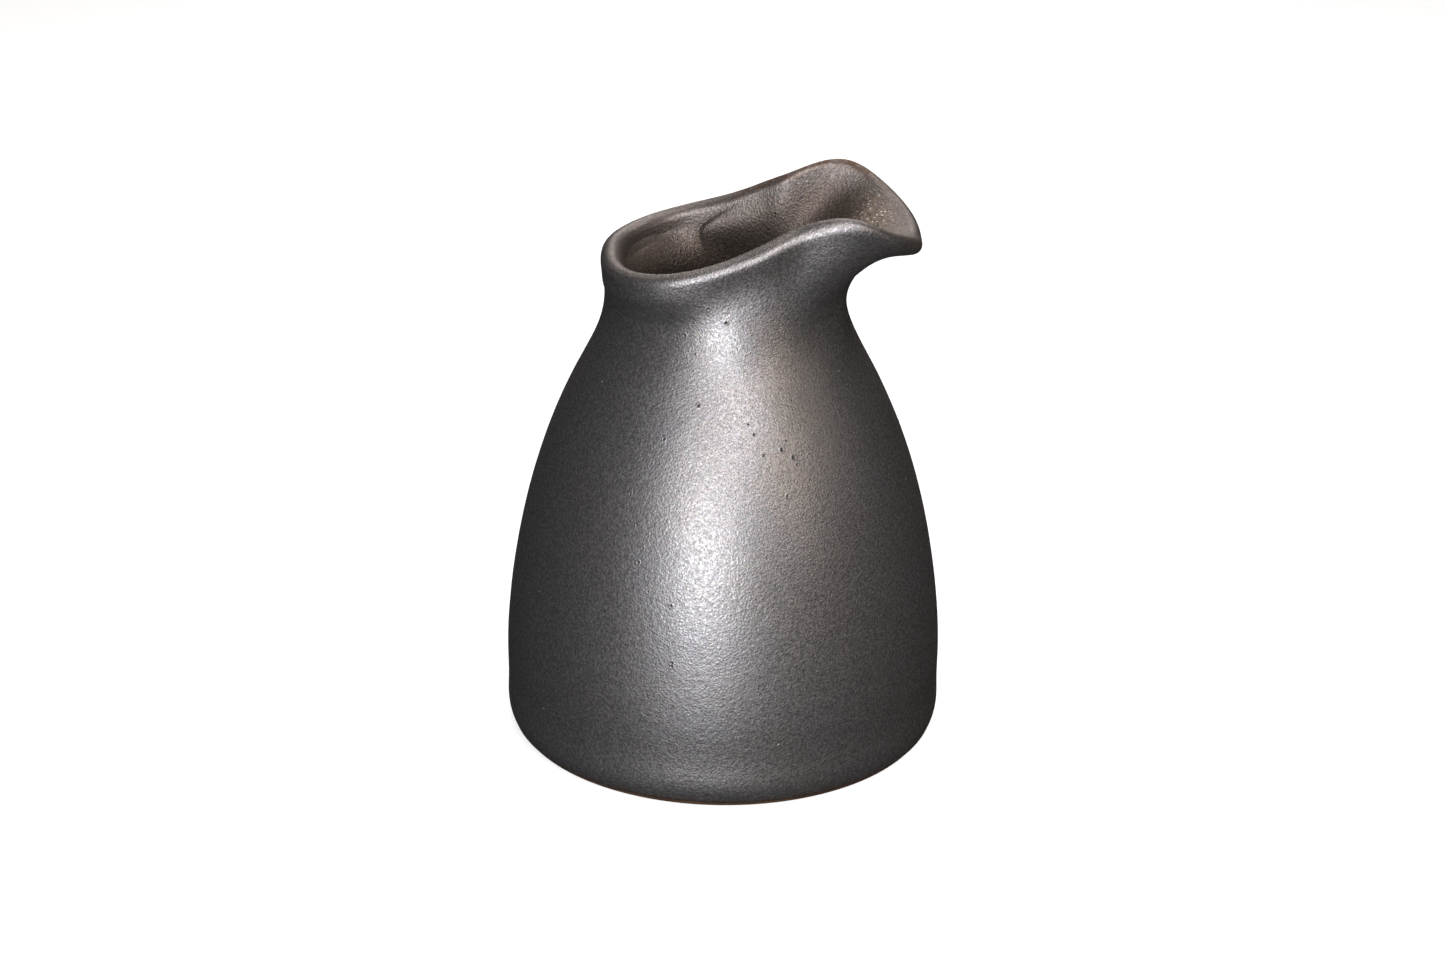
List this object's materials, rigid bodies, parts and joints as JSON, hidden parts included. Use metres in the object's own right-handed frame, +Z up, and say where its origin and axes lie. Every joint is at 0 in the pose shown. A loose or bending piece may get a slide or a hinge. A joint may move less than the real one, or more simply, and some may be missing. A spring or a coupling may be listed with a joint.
{
  "type": "sauce jug",
  "caption": "Small handleless stoneware sauce jug with a round belly, narrow neck, pulled pouring lip and dark metallic glaze.",
  "frame": {"origin": "middle of the foot, on the surface the jug stands on", "axes": "+Z up along the body's axis, +X towards the pouring lip, XZ is the mirror plane"},
  "size_m": [0.0902, 0.0902, 0.1145],
  "materials": {
    "bare_stoneware": "matte, wiped clean of glaze",
    "outside_glaze": "semi-matte metallic gunmetal with fine orange peel and a few pinholes",
    "inside_glaze": "semi-matte metallic, browner than outside"
  },
  "bodies": {
    "root": {"stoneware_body": "bare_stoneware", "outside_glaze": "outside_glaze", "inside_glaze": "inside_glaze"}
  },
  "joints": []
}
